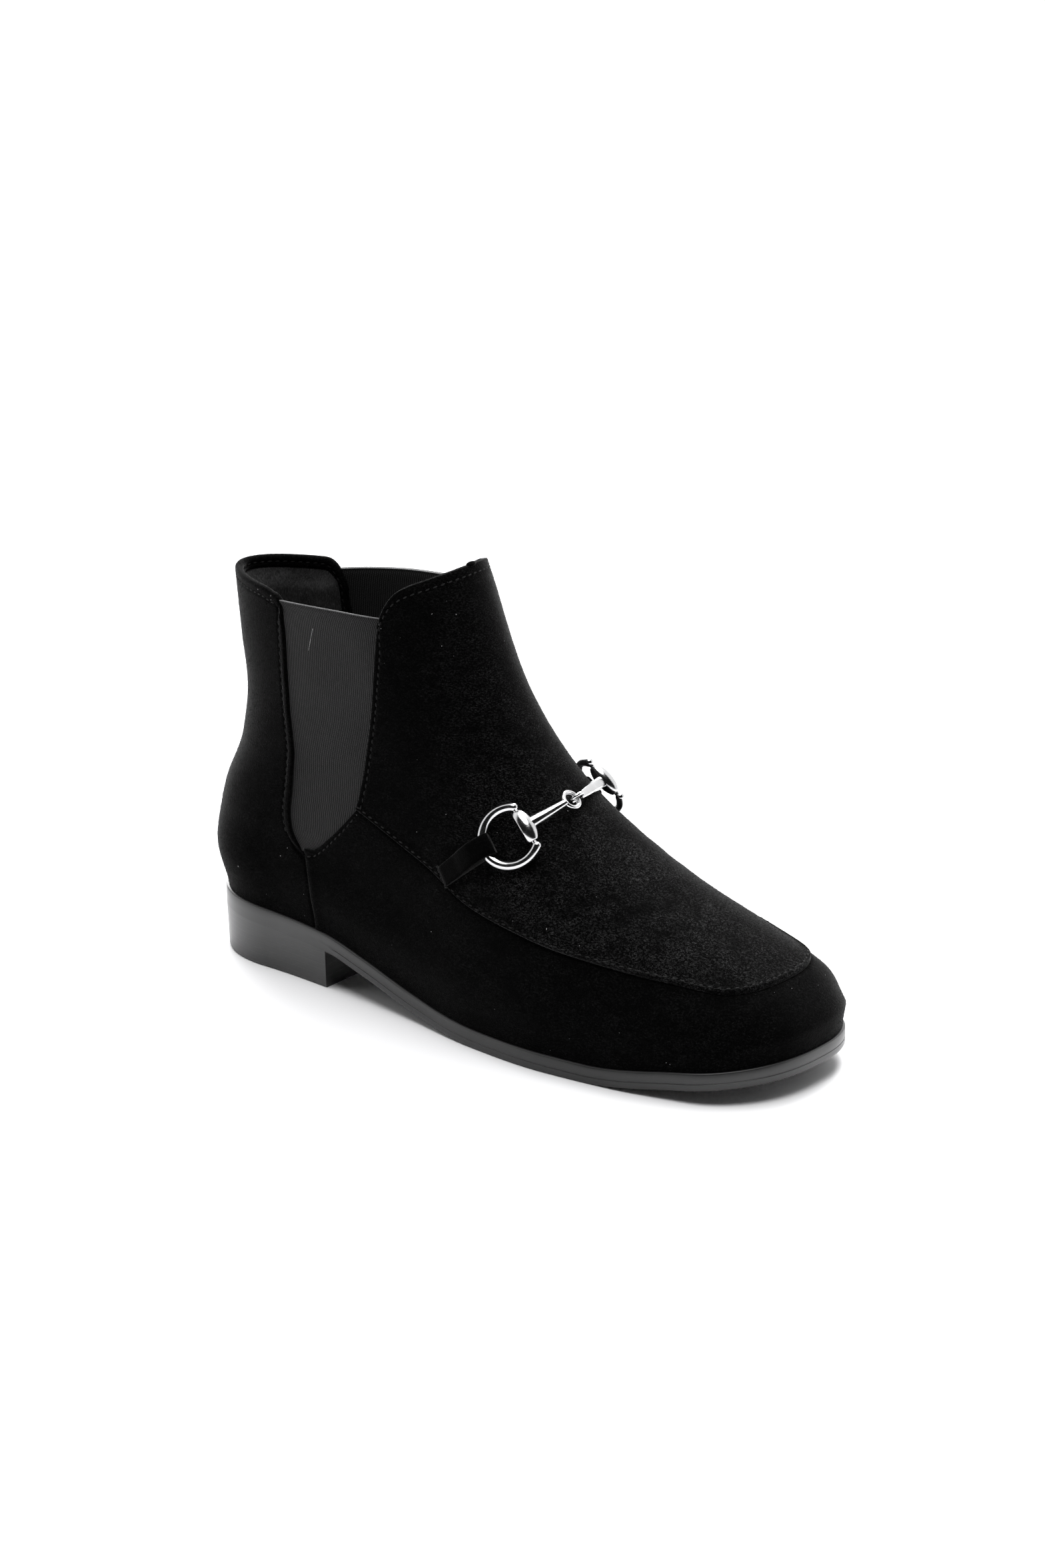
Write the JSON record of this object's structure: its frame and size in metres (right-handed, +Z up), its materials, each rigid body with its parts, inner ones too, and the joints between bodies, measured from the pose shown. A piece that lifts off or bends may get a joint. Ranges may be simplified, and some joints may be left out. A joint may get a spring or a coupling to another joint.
{
  "type": "ankle boot",
  "caption": "Flat suede ankle boot for the right foot with elastic sides, a raised apron seam, a snaffle across the instep, a thin sole and a low block heel.",
  "frame": {"origin": "centre of the bounding box on the floor plane under the sole", "axes": "+X from heel to toe, +Y to the wearer's left (the inner side), +Z up"},
  "size_m": [0.2678, 0.0926, 0.1683],
  "materials": {
    "sole": "satin black",
    "sock": "matt black",
    "suede": "napped black suede",
    "elastic": "ribbed dark grey elastic",
    "suede_strap": "napped black suede",
    "polished_metal": "polished"
  },
  "bodies": {
    "root": {"outsole": "sole", "heel": "sole", "insole": "sock", "upper": "suede", "gore_outer": "elastic", "gore_inner": "elastic", "strap_outer": "suede_strap", "strap_inner": "suede_strap", "snaffle_ring_outer": "polished_metal", "snaffle_ring_inner": "polished_metal", "snaffle_link_outer": "polished_metal", "snaffle_link_inner": "polished_metal"}
  },
  "joints": []
}
